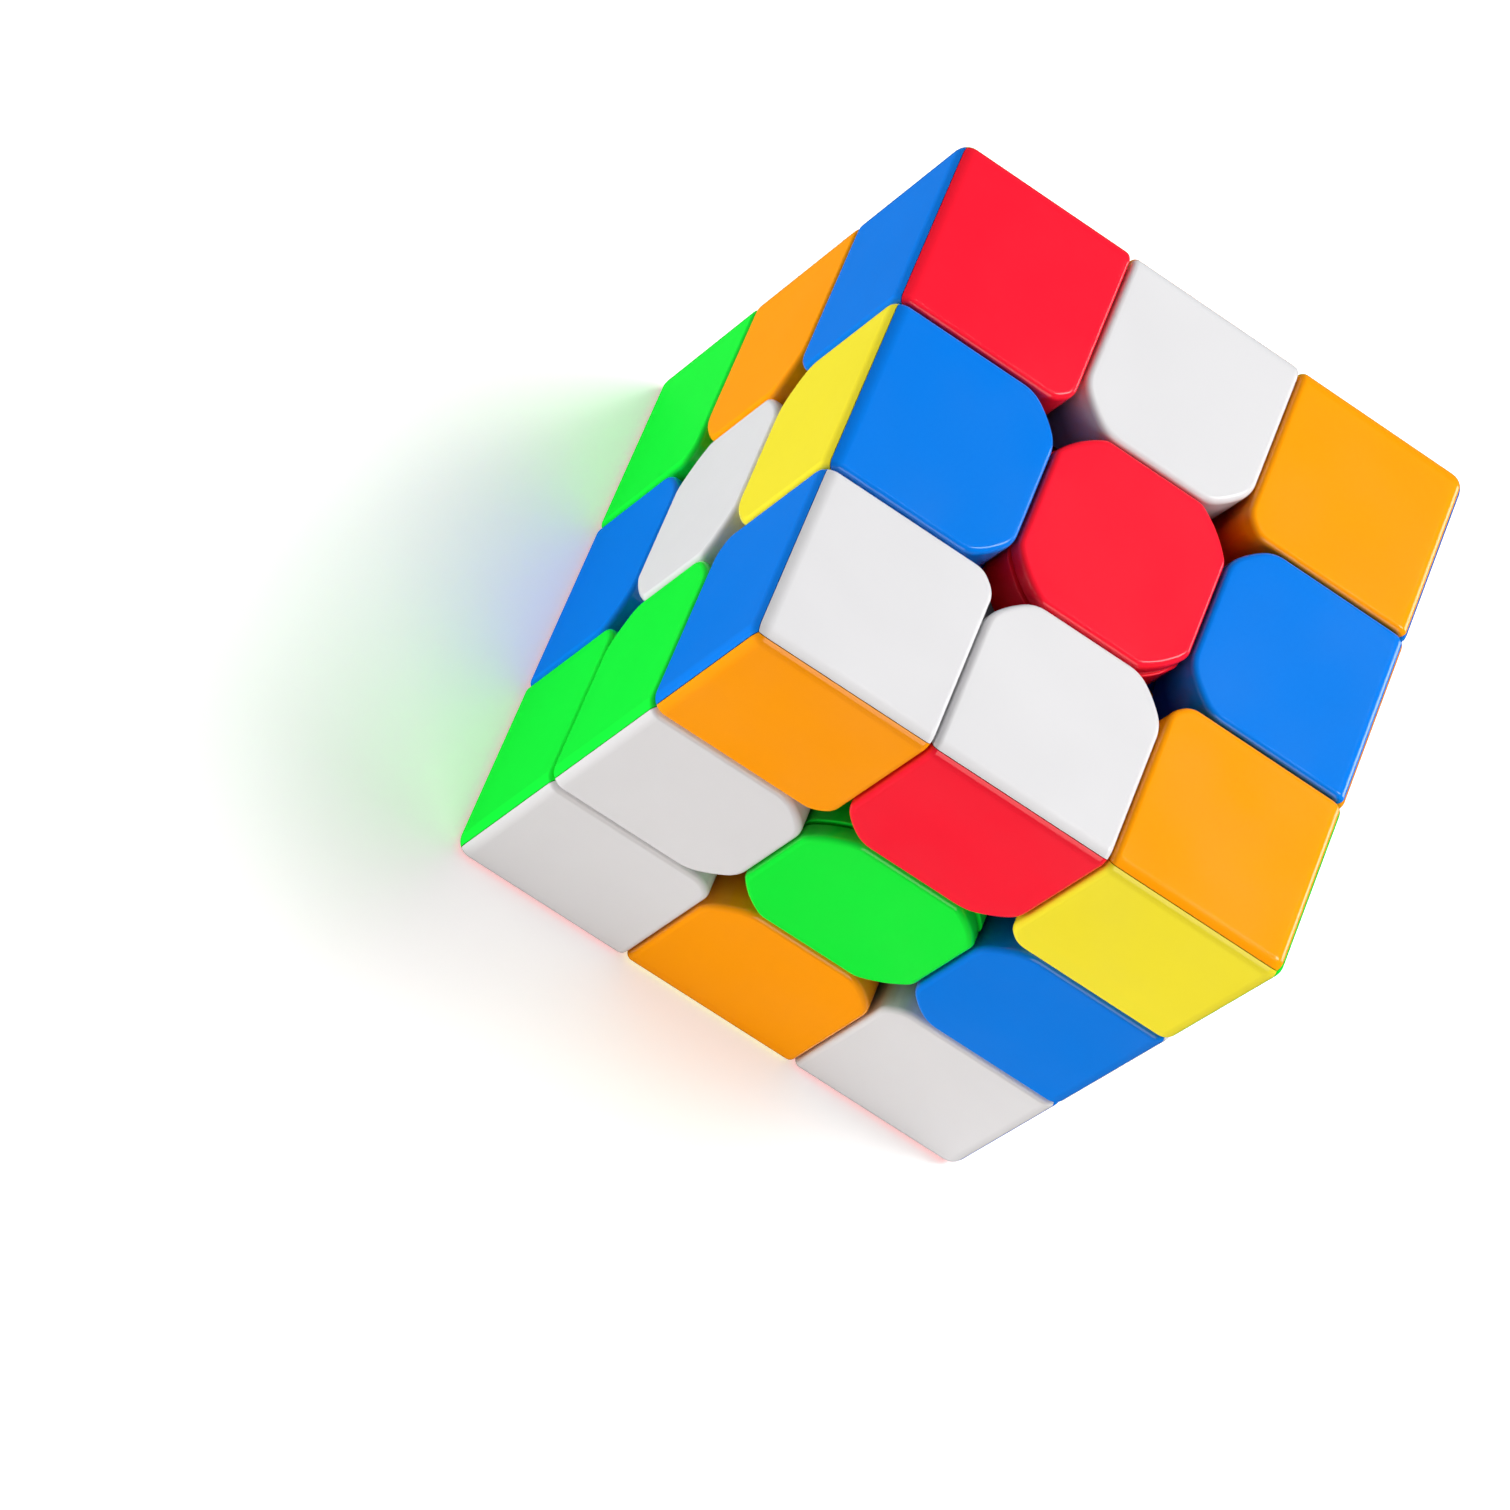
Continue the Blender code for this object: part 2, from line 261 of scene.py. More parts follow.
def rod_mesh(radius, bottom, top):
    return mesh_from(rod_bm(radius, bottom, top), "rod")


def skin_bm(rings):
    """Closed skin over a row of rings that all have the same number of points."""
    bm = bmesh.new()
    rows = [[bm.verts.new(point) for point in ring] for ring in rings]
    count = len(rows[0])
    for lower, upper in zip(rows, rows[1:]):
        for side in range(count):
            after = (side + 1) % count
            bm.faces.new((lower[side], lower[after], upper[after], upper[side]))
    bm.faces.new(rows[0])
    bm.faces.new(rows[-1])
    bmesh.ops.recalc_face_normals(bm, faces=bm.faces)
    return bm


def prism_bm(outline, bottom, top):
    """Upright prism over a closed outline of (x, y) points."""
    return skin_bm([[(x, y, height) for x, y in outline] for height in (bottom, top)])


def round_edges(bm, edges, radius, segments):
    bmesh.ops.bevel(
        bm,
        geom=edges,
        offset=radius,
        offset_type="OFFSET",
        segments=segments,
        profile=0.5,
        affect="EDGES",
        clamp_overlap=True,
    )


def edges_between(bm, *normals):
    """Edges whose two faces both point along one of the given directions."""
    wanted = [Vector(normal) for normal in normals]
    found = []
    for edge in bm.edges:
        sides = [face.normal for face in edge.link_faces]
        if all(any(side.dot(want) > 0.99 for want in wanted) for side in sides):
            found.append(edge)
    return found


def rim_edges(bm, reach, limit):
    """Square edges whose middle reaches past a limit, by a given measure of a point."""
    found = []
    for edge in bm.edges:
        middle = (edge.verts[0].co + edge.verts[1].co) / 2
        if reach(middle) > limit and edge.calc_face_angle(0) > math.radians(60):
            found.append(edge)
    return found


def round_top(bm, top, radius, segments):
    round_edges(bm, rim_edges(bm, lambda point: point.z, top - SEAM / 2), radius, segments)


def combine(name, base, *steps):
    """Apply exact Booleans, each an (operation, mesh) pair, and return the new mesh."""
    body = bpy.data.objects.new(name, base)
    bpy.context.collection.objects.link(body)
    tools = []
    for operation, mesh in steps:
        tool = bpy.data.objects.new("tool", mesh)
        bpy.context.collection.objects.link(tool)
        tools.append(tool)
        cut = body.modifiers.new(operation.lower(), "BOOLEAN")
        cut.operation = operation
        cut.solver = "EXACT"
        cut.object = tool
    depsgraph = bpy.context.evaluated_depsgraph_get()
    baked = bpy.data.meshes.new_from_object(body.evaluated_get(depsgraph))
    for obj in [body, *tools]:
        bpy.data.objects.remove(obj, do_unlink=True)
    baked.name = name
    return baked


def cleaned_bm(mesh):
    """A bmesh without doubled points and without edges inside flat faces."""
    bm = bmesh.new()
    bm.from_mesh(mesh)
    bmesh.ops.remove_doubles(bm, verts=bm.verts, dist=1e-6)
    bmesh.ops.dissolve_limit(
        bm, angle_limit=math.radians(0.1), verts=bm.verts, edges=bm.edges
    )
    bmesh.ops.recalc_face_normals(bm, faces=bm.faces)
    return bm


def tidy_facets(mesh):
    """Clean the mesh and shade it smooth, but for its sharp edges."""
    bm = cleaned_bm(mesh)
    bm.to_mesh(mesh)
    bm.free()
    mesh.shade_smooth()
    mesh.set_sharp_from_angle(angle=math.radians(35))
    return mesh


def piece_frame(primary, secondary):
    """Turn that takes the up side to the first face and the front side to the second."""
    z_axis = FACES[primary]
    y_axis = -FACES[secondary]
    x_axis = y_axis.cross(z_axis)
    return Matrix((x_axis, y_axis, z_axis)).transposed().to_4x4()


def turned(bm, primary, secondary):
    """The bmesh as a mesh, with its up and front sides taken to those two faces."""
    bm.transform(piece_frame(primary, secondary))
    return mesh_from(bm, f"{primary}_copy")


# -------------------------------------------------------------- tile outlines


def soft_quarter(half, cut_radius, blend, inset=0):
    """A tile's outline in its first quarter, from the right side round to the far side.

    An inset moves the whole outline inwards, for the hollow of a shell.
    """
    half -= inset
    cut_radius -= inset
    rise = math.sqrt((cut_radius - blend) ** 2 - (half - blend) ** 2)
    turn = math.atan2(rise, half - blend)
    start = []
    for step in range(BLEND_STEPS):
        angle = turn * step / BLEND_STEPS
        start.append((half - blend + blend * math.cos(angle), rise + blend * math.sin(angle)))
    arc = []
    for step in range(ARC_STEPS + 1):
        angle = turn + (math.pi / 2 - 2 * turn) * step / ARC_STEPS
        arc.append((cut_radius * math.cos(angle), cut_radius * math.sin(angle)))
    return start + arc + [(y, x) for x, y in reversed(start)]


def soft_square(quarter):
    """Outline with the same soft corner four times."""
    left = [(-x, y) for x, y in reversed(quarter)]
    return quarter + left + [(-x, -y) for x, y in quarter + left]


def offcut(quarter, side, middle):
    """What a soft corner leaves of a square one, at the right or left of a tile's far side.

    It starts a little outside the tile, in line with the first chord of the curve.
    """
    (x, y), (next_x, next_y) = quarter[:2]
    start = (x + OVERCUT * (x - next_x), y + OVERCUT * (y - next_y))
    clear = x + CUT_MARGIN
    outer = [start[::-1], (start[1], clear), (clear, clear), (clear, start[1])]
    outline = [start, *quarter[1:-1], *outer]
    placed = [(middle[0] + side * x, middle[1] + y) for x, y in outline]
    return prism_bm(placed, LAYER_CUT - CUT_MARGIN, HALF + CUT_MARGIN)


# ------------------------------------------------------------- moulded shells


def corner_block(inset):
    """The corner's three tiles as one solid block, inset for its hollow."""
    near = LAYER_CUT + SEAM / 2 + inset
    far = HALF - inset
    soft = soft_quarter(PITCH - near + inset, **CORNER_SOFTNESS, inset=inset)
    middle = (PITCH, -PITCH)
    block = combine(
        "corner_block",
        box_mesh((near, -far, near), (far, -near, far)),
        ("DIFFERENCE", turned(offcut(soft, -1, middle), "up", "front")),
        ("DIFFERENCE", turned(offcut(soft, -1, middle), "right", "up")),
        ("DIFFERENCE", turned(offcut(soft, -1, middle), "front", "right")),
    )
    bm = cleaned_bm(block)
    if inset == 0:
        outer = edges_between(bm, (1, 0, 0), (0, -1, 0), (0, 0, 1))
        round_edges(bm, outer, OUTER_ROUND, OUTER_SEGMENTS)
        rim = rim_edges(bm, lambda p: max(p.x, -p.y, p.z), HALF - OUTER_ROUND / 2)
        round_edges(bm, rim, SEAM_ROUND, SEAM_SEGMENTS)
    return mesh_from(bm, "corner_block")


def wedge_mesh():
    """The space nearest to the up side of three, less half the mitre gap."""
    slack = MITRE_GAP / math.sqrt(2)
    bm = bmesh.new()
    tip = bm.verts.new((-slack, slack, 0))
    rim = [
        bm.verts.new((-EDGE, -EDGE + slack, EDGE)),
        bm.verts.new((EDGE - slack, -EDGE + slack, EDGE)),
        bm.verts.new((EDGE - slack, EDGE, EDGE)),
        bm.verts.new((-EDGE, EDGE, EDGE)),
    ]
    for index, corner in enumerate(rim):
        bm.faces.new((tip, corner, rim[(index + 1) % 4]))
    bm.faces.new(reversed(rim))
    bmesh.ops.recalc_face_normals(bm, faces=bm.faces)
    return mesh_from(bm, "wedge")


def make_corner_shell():
    """Up shell of the up-front-right corner, with its third of the foot."""
    foot = combine(
        "foot",
        box_mesh((FOOT_CUT, -HALF, FOOT_CUT), (HALF, -FOOT_CUT, HALF)),
        ("INTERSECT", ball_mesh(FOOT_RADIUS)),
    )
    near = FOOT_CUT + WALL
    foot_hollow = combine(
        "foot_hollow",
        box_mesh((near, -HALF, near), (HALF, -near, HALF)),
        ("INTERSECT", ball_mesh(FOOT_RADIUS - WALL)),
    )
    shell = combine(
        "corner_shell",
        corner_block(0),
        ("UNION", foot),
        ("DIFFERENCE", corner_block(WALL)),
        ("DIFFERENCE", foot_hollow),
        ("DIFFERENCE", ball_mesh(FOOT_INNER_RADIUS)),
        ("INTERSECT", wedge_mesh()),
    )
    return tidy_facets(shell)


def edge_block(inset):
    """The edge's two tiles as one solid block, inset for its hollow."""
    near = LAYER_CUT + SEAM / 2 + inset
    far = HALF - inset
    half = PITCH - near
    soft = soft_quarter(half + inset, **EDGE_SOFTNESS, inset=inset)
    middle = (0, -PITCH)
    block = combine(
        "edge_block",
        box_mesh((-half, -far, near), (half, -near, far)),
        ("DIFFERENCE", turned(offcut(soft, 1, middle), "up", "front")),
        ("DIFFERENCE", turned(offcut(soft, -1, middle), "up", "front")),
        ("DIFFERENCE", turned(offcut(soft, 1, middle), "front", "up")),
        ("DIFFERENCE", turned(offcut(soft, -1, middle), "front", "up")),
    )
    bm = cleaned_bm(block)
    if inset == 0:
        outer = edges_between(bm, (0, -1, 0), (0, 0, 1))
        round_edges(bm, outer, OUTER_ROUND, OUTER_SEGMENTS)
        rim = rim_edges(bm, lambda p: max(-p.y, p.z), HALF - OUTER_ROUND / 2)
        round_edges(bm, rim, SEAM_ROUND, SEAM_SEGMENTS)
    return mesh_from(bm, "edge_block")


def diagonal_slab(start, end):
    """Slab across the up-front diagonal, from one distance of the core to another."""
    bm = box_bm((-EDGE, -EDGE, start), (EDGE, EDGE, end))
    bm.transform(Matrix.Rotation(math.radians(45), 4, "X"))
    return mesh_from(bm, "diagonal_slab")


def edge_foot(inset, inner_end):
    side = FOOT_CUT - SEAM - inset
    near = FOOT_CUT + inset
    return combine(
        "edge_foot",
        box_mesh((-side, -HALF, near), (side, -near, HALF)),
        ("INTERSECT", ball_mesh(FOOT_RADIUS - inset)),
        inner_end,
    )


def edge_neck(inset):
    side = FOOT_CUT - SEAM - inset
    near = LAYER_CUT + SEAM / 2 + inset
    far = UNDERSIDE_RADIUS * math.sqrt(0.5) + WALL
    return box_mesh((-side, -far, near), (side, -near, far))


def make_edge_shell():
    """Up shell of the up-front edge piece, with its half of the neck and foot."""
    hollow_block = combine(
        "hollow_block",
        edge_block(WALL),
        ("INTERSECT", diagonal_slab(UNDERSIDE_RADIUS + WALL, EDGE)),
    )
    upper_half = box_bm((-EDGE, -EDGE, MITRE_GAP / 2), (EDGE, EDGE, EDGE))
    upper_half.transform(Matrix.Rotation(math.radians(-45), 4, "X"))
    foot_hollow_end = diagonal_slab(FOOT_INNER_RADIUS + WALL, EDGE)
    shell = combine(
        "edge_shell",
        edge_block(0),
        ("DIFFERENCE", ball_mesh(UNDERSIDE_RADIUS)),
        ("UNION", edge_neck(0)),
        ("UNION", edge_foot(0, ("DIFFERENCE", ball_mesh(FOOT_INNER_RADIUS)))),
        ("DIFFERENCE", hollow_block),
        ("DIFFERENCE", edge_neck(WALL)),
        ("DIFFERENCE", edge_foot(WALL, ("INTERSECT", foot_hollow_end))),
        ("INTERSECT", mesh_from(upper_half, "upper_half")),
    )
    return tidy_facets(shell)


def centre_prism(softness, bottom, top):
    soft = soft_quarter(LAYER_CUT - SEAM / 2, **softness)
    return prism_bm(soft_square(soft), bottom, top)


def make_centre_skirt():
    """Walls and stem of the up centre, open at the top for its screw and cap."""
    walls = centre_prism(SKIRT_SOFTNESS, LAYER_CUT + SEAM, SKIRT_TOP)
    round_top(walls, SKIRT_TOP, CAP_FOOT_ROUND, SMALL_SEGMENTS)
    skirt = combine(
        "centre_skirt",
        mesh_from(walls, "walls"),
        ("DIFFERENCE", ball_mesh(UNDERSIDE_RADIUS)),
        ("UNION", rod_mesh(STEM_RADIUS, STEM_END, SKIRT_TOP - SEAM)),
        ("DIFFERENCE", rod_mesh(WELL_RADIUS, WELL_FLOOR, HALF)),
        ("DIFFERENCE", rod_mesh(SHANK_CLEARANCE, 0, HALF)),
    )
    return tidy_facets(skirt)


def make_centre_tile():
    """Cap of the up centre with the round plug that holds it in the well."""
    slab = centre_prism(CENTRE_SOFTNESS, CAP_UNDERSIDE, HALF)
    round_top(slab, HALF, SEAM_ROUND, SEAM_SEGMENTS)
    foot = rim_edges(slab, lambda point: -point.z, -CAP_UNDERSIDE - SEAM / 2)
    round_edges(slab, foot, CAP_FOOT_ROUND, SMALL_SEGMENTS)
    tile = combine(
        "centre_tile",
        mesh_from(slab, "slab"),
        ("UNION", rod_mesh(PLUG_RADIUS, PLUG_BOTTOM, CAP_UNDERSIDE + SEAM)),
        ("DIFFERENCE", rod_mesh(PLUG_BORE, LAYER_CUT, CAP_UNDERSIDE)),
    )
    return tidy_facets(tile)


# -------------------------------------------------------- screw, spring, core


def thread_mesh():
    """Rolled thread from the screw's tip to its plain shank."""
    length = THREAD_TOP - SCREW_TIP
    rows = round(length / THREAD_PITCH * THREAD_ROWS)
    rings = []
    for row in range(rows + 1):
        height = SCREW_TIP + length * row / rows
        lead_in = min(1, row / THREAD_ROWS)
        ring = []
        for side in range(THREAD_SIDES):
            angle = math.tau * side / THREAD_SIDES
            phase = (height / THREAD_PITCH - side / THREAD_SIDES) % 1
            ridge = 1 - abs(2 * phase - 1)
            radius = THREAD_CREST - THREAD_DEPTH * (2 - ridge - lead_in)
            ring.append((radius * math.cos(angle), radius * math.sin(angle), height))
        rings.append(ring)
    return mesh_from(skin_bm(rings), "thread")


def make_screw():
    """Round head with a cross recess on a threaded shank."""
    underside = HEAD_TOP - HEAD_HEIGHT
    head = rod_bm(HEAD_RADIUS, underside, HEAD_TOP)
    round_top(head, HEAD_TOP, HEAD_ROUND, SEAM_SEGMENTS)
    length = RECESS_LENGTH / 2
    width = RECESS_WIDTH / 2
    floor = HEAD_TOP - RECESS_DEPTH
    screw = combine(
        "tension_screw",
        mesh_from(head, "head"),
        ("UNION", rod_mesh(SHANK_RADIUS, THREAD_TOP - THREAD_PITCH, underside + SEAM)),
        ("UNION", thread_mesh()),
        ("DIFFERENCE", box_mesh((-length, -width, floor), (length, width, HALF))),
        ("DIFFERENCE", box_mesh((-width, -length, floor), (width, length, HALF))),
    )
    return tidy_facets(screw)


def make_spring():
    """Round wire coiled between the floor of the well and the screw's head."""
    start = SPRING_LOW + WIRE_RADIUS
    climb = SPRING_HIGH - WIRE_RADIUS - start
    steps = SPRING_TURNS * COIL_STEPS
    rings = []
    for step in range(steps + 1):
        angle = math.tau * step / COIL_STEPS
        ring = []
        for side in range(WIRE_SIDES):
            around = math.tau * side / WIRE_SIDES
            reach = SPRING_RADIUS + WIRE_RADIUS * math.cos(around)
            height = start + climb * step / steps + WIRE_RADIUS * math.sin(around)
            ring.append((reach * math.cos(angle), reach * math.sin(angle), height))
        rings.append(ring)
    return tidy_facets(mesh_from(skin_bm(rings), "spring"))


def face_turn(face):
    """Turn from the up side to that face, with a neighbour of it kept in front."""
    neighbours = {"up": "front", "down": "back"}
    return piece_frame(face, neighbours.get(face, "up"))


def arm_mesh(face):
    arm = rod_bm(ARM_RADIUS, 0, ARM_END)
    round_top(arm, ARM_END, ARM_ROUND, SMALL_SEGMENTS)
    arm.transform(face_turn(face))
    return mesh_from(arm, "arm")


def pilot_mesh(face):
    pilot = rod_bm(PILOT_RADIUS, PILOT_FLOOR, HALF)
    pilot.transform(face_turn(face))
    return mesh_from(pilot, "pilot")


def make_core():
    """Hub with six arms, each bored for its tension screw."""
    steps = [("UNION", arm_mesh(face)) for face in FACES]
    steps += [("DIFFERENCE", pilot_mesh(face)) for face in FACES]
    return tidy_facets(combine("core_cross", ball_mesh(HUB_RADIUS), *steps))


# ------------------------------------------------------------------ materials


def map_range(tree, value, source, target):
    """Map one range of a value to another, and hold it at the ends."""
    node = tree.nodes.new("ShaderNodeMapRange")
    for name, limit in zip(("From Min", "From Max"), source):
        node.inputs[name].default_value = limit
    for name, limit in zip(("To Min", "To Max"), target):
        node.inputs[name].default_value = limit
    tree.links.new(value, node.inputs["Value"])
    return node.outputs["Result"]


class Finish:
    """One node material whose textures are mapped in the piece's own space."""

    def __init__(self, name):
        self.material = bpy.data.materials.new(name)
        self.material.use_nodes = True
        self.tree = self.material.node_tree
        self.nodes = self.tree.nodes
        self.links = self.tree.links
        self.shader = self.nodes["Principled BSDF"]
        self.coords = self.nodes.new("ShaderNodeTexCoord")

    def noise(self, scale, detail=2.0, distortion=0.0):
        node = self.nodes.new("ShaderNodeTexNoise")
        node.inputs["Scale"].default_value = scale
        node.inputs["Detail"].default_value = detail
        node.inputs["Distortion"].default_value = distortion
        self.links.new(self.coords.outputs["Object"], node.inputs["Vector"])
        return node.outputs["Fac"]

    def mix(self, factor, first, second):
        """Mix two colours, each given as three numbers or as a node's output."""
        node = self.nodes.new("ShaderNodeMix")
        node.data_type = "RGBA"
        self.links.new(factor, node.inputs["Factor"])
        for name, colour in (("A", first), ("B", second)):
            if isinstance(colour, bpy.types.NodeSocket):
                self.links.new(colour, node.inputs[name])
            else:
                node.inputs[name].default_value = (*colour, 1)
        return node.outputs["Result"]

    def uneven(self, noise, low, high):
        """The middle of a noise's range, stretched between two values."""
        return map_range(self.tree, noise, NOISE_MIDDLE, (low, high))

    def larger(self, first, second):
        node = self.nodes.new("ShaderNodeMath")
        node.operation = "MAXIMUM"
        self.links.new(first, node.inputs[0])
        self.links.new(second, node.inputs[1])
        return node.outputs["Value"]

    def reach(self):
        """Largest coordinate of the point, which is half the edge on the cube's faces."""
        absolute = self.nodes.new("ShaderNodeVectorMath")
        absolute.operation = "ABSOLUTE"
        self.links.new(self.coords.outputs["Object"], absolute.inputs[0])
        parts = self.nodes.new("ShaderNodeSeparateXYZ")
        self.links.new(absolute.outputs["Vector"], parts.inputs["Vector"])
        return self.larger(self.larger(parts.outputs["X"], parts.outputs["Y"]), parts.outputs["Z"])

    def feed(self, value, name):
        self.links.new(value, self.shader.inputs[name])

    def bump(self, height, strength, distance):
        node = self.nodes.new("ShaderNodeBump")
        node.inputs["Strength"].default_value = strength
        node.inputs["Distance"].default_value = distance
        self.links.new(height, node.inputs["Height"])
        self.links.new(node.outputs["Normal"], self.shader.inputs["Normal"])


def plastic(colour, kind):
    """Glossy moulded plastic: faint flow marks, uneven polish, a fine skin, and painted shade that
    darkens and deepens the colour of its walls in the gaps.
    """
    name = f"{colour}_{kind}"
    made = bpy.data.materials.get(name)
    if made:
        return made
    base = PLASTICS[colour]
    finish = Finish(name)
    dark = [part * 0.96 for part in base]
    light = [min(1.0, part * 1.03) for part in base]
    # Painted shade: from the first depth to the second the walls in the gaps darken and deepen in
    # colour, standing in for the shade in the openings
    painted_shade = [PAINTED_WALL_SHADES[kind] * part**PAINTED_SHADE_DEEPENING for part in base]
    skin = finish.mix(finish.noise(70, 2, 0.6), dark, light)
    reach = finish.reach()
    wall = [HALF - depth for depth in SHADED_WALL_DEPTHS]
    inside = map_range(finish.tree, reach, wall, (0, 1))
    dulled = map_range(finish.tree, reach, wall, (POLISHED_SPECULAR, WALL_SPECULAR))
    polish = finish.uneven(finish.noise(160, 4), GLOSS_ROUGHNESS, GLOSS_ROUGHNESS + 0.07)
    finish.feed(finish.mix(inside, skin, painted_shade), "Base Color")
    finish.feed(dulled, "Specular IOR Level")
    finish.feed(polish, "Roughness")
    finish.bump(finish.noise(900, 3), 0.08, 0.00004)
    return finish.material


def black_nylon():
    """Dull black plastic with a slight grain."""
    finish = Finish("black_nylon")
    tone = finish.mix(finish.noise(90), (0.012, 0.012, 0.014), (0.022, 0.022, 0.025))
    finish.feed(tone, "Base Color")
    finish.feed(finish.uneven(finish.noise(400, 3), 0.42, 0.60), "Roughness")
    finish.bump(finish.noise(1600), 0.25, 0.00005)
    return finish.material


def steel(name, base, roughness):
    """Drawn or turned steel with fine streaks in its shine."""
    finish = Finish(name)
    dark = [part * 0.8 for part in base]
    finish.feed(finish.mix(finish.noise(500, 4, 1.5), dark, base), "Base Color")
    streaks = finish.uneven(finish.noise(1500), roughness, roughness + 0.18)
    finish.feed(streaks, "Roughness")
    finish.shader.inputs["Metallic"].default_value = 1
    return finish.material


# ------------------------------------------------------------------ placement


def place(name, mesh, turn, material, body, node):
    """One copy of a master, turned into its place, riding on its body."""
    own = mesh.copy()
    own.name = name
    own.transform(turn)
    own.materials.clear()
    own.materials.append(material)
    obj = bpy.data.objects.new(name, own)
    bpy.context.collection.objects.link(obj)
    shading = obj.modifiers.new("weighted normals", "WEIGHTED_NORMAL")
    shading.keep_sharp = True
    shading.weight = 100
    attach(obj, body)
    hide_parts(node)


def place_plastic(name, mesh, turn, finish, body, node):
    """A moulded piece, with its finish given as a colour and a kind of wall."""
    place(name, mesh, turn, plastic(*finish), body, node)


def corner_turn(face, others):
    """Turn of the up-front-right corner's up shell to one face of another corner."""
    turn = piece_frame(face, others[0])
    if turn.to_3x3().col[0].dot(FACES[others[1]]) > 0:
        return turn
    return piece_frame(face, others[1])


def place_corners():
    shell = make_corner_shell()
    for faces, colours in CORNER_COLOURS.items():
        corner = "_".join(faces) + "_corner"
        for face, colour in zip(faces, colours):
            turn = corner_turn(face, [other for other in faces if other != face])
            name = f"{corner}_{face}_tile"
            place_plastic(name, shell, turn, (colour, "tile"), corner, corner)


def place_edges():
    shell = make_edge_shell()
    for (first, second), colours in EDGE_COLOURS.items():
        edge = f"{first}_{second}_edge"
        for face, other, colour in ((first, second, colours[0]), (second, first, colours[1])):
            turn = piece_frame(face, other)
            node = f"{edge}_{face}_shell"
            name = f"{edge}_{face}_tile"
            place_plastic(name, shell, turn, (colour, "tile"), edge, node)


def place_centres():
    skirt = make_centre_skirt()
    tile = make_centre_tile()
    for face, colour in CENTRE_COLOURS.items():
        turn = face_turn(face)
        centre = f"{face}_centre"
        finish = (colour, "centre")
        place_plastic(f"{centre}_skirt", skirt, turn, finish, centre, f"{centre}_body")
        place_plastic(f"{centre}_tile", tile, turn, finish, f"{face}_cap", f"{centre}_cap")


def place_fittings():
    """The parts that hold the centres on the core."""
    screw = make_screw()
    spring = make_spring()
    turned_steel = steel("screw_steel", (0.63, 0.63, 0.66), 0.22)
    drawn_steel = steel("spring_steel", (0.52, 0.52, 0.55), 0.16)
    place("core_cross", make_core(), Matrix(), black_nylon(), "core", "core")
    for face in FACES:
        turn = face_turn(face)
        node = f"{face}_tension_screw"
        name = f"{face}_threaded_screw"
        place(name, screw, turn, turned_steel, f"{face}_screw", node)
        node = f"{face}_spring"
        name = f"{face}_coil_spring"
        place(name, spring, turn, drawn_steel, "core", node)


# ---------------------------------------------------------------------- stage

# The camera stands front-left of the cube, above it, and is rolled as in the photograph
CAMERA_AZIMUTH = -26.66
CAMERA_ELEVATION = 53.75
CAMERA_ROLL = 55.0
CAMERA_DISTANCE = 0.675
CAMERA_SHIFT = (-0.01826, -0.0080)
CAMERA_LENS = 180.65
CAMERA_SENSOR = 36
CAMERA_CLIP = (0.01, 10)
LIGHT_DISTANCE = 0.9

# The floor glows near the cube and fades into the backdrop between these two distances
FLOOR_RADIUS = 0.8
FLOOR_SEGMENTS = 96
FLOOR_GAP = 0.0001
FLOOR_FADE = (0.15, 0.40)
FLOOR_GLOW = 0.40
FLOOR_TONE = 0.90
FLOOR_REFLECTED = 0.03
PAD_MARGIN = 0.001

# The surroundings' strength as light, and as a backdrop behind the floor
WORLD_LIGHT = 0.22
WORLD_SEEN = 0.90
WORLD_REFLECTED = 0.28


def view_direction(azimuth, elevation):
    """From the object towards a camera at these angles, in degrees."""
    azimuth = math.radians(azimuth)
    elevation = math.radians(elevation)
    level = math.cos(elevation)
    return Vector((math.sin(azimuth) * level, -math.cos(azimuth) * level, math.sin(elevation)))


def make_camera():
    back = view_direction(CAMERA_AZIMUTH, CAMERA_ELEVATION)
    roll = Quaternion((0, 0, 1), math.radians(CAMERA_ROLL))
    turn = (-back).to_track_quat("-Z", "Y") @ roll
    data = bpy.data.cameras.new("camera")
    data.sensor_width = CAMERA_SENSOR
    data.lens = CAMERA_LENS
    data.clip_start, data.clip_end = CAMERA_CLIP
    camera = bpy.data.objects.new("camera", data)
    bpy.context.collection.objects.link(camera)
    camera.rotation_mode = "QUATERNION"
    camera.rotation_quaternion = turn
    camera.location = turn @ Vector((*CAMERA_SHIFT, 0)) + back * CAMERA_DISTANCE
    bpy.context.scene.camera = camera


def dimmed_in_reflections(tree, tone, reflected_tone):
    """A grey that looks darker in reflections, as in a studio with dark cloths."""
    path = tree.nodes.new("ShaderNodeLightPath")
    mix = tree.nodes.new("ShaderNodeMix")
    mix.data_type = "RGBA"
    mix.inputs["A"].default_value = (tone, tone, tone, 1)
    mix.inputs["B"].default_value = (reflected_tone, reflected_tone, reflected_tone, 1)
    tree.links.new(path.outputs["Is Glossy Ray"], mix.inputs["Factor"])
    return mix.outputs["Result"]


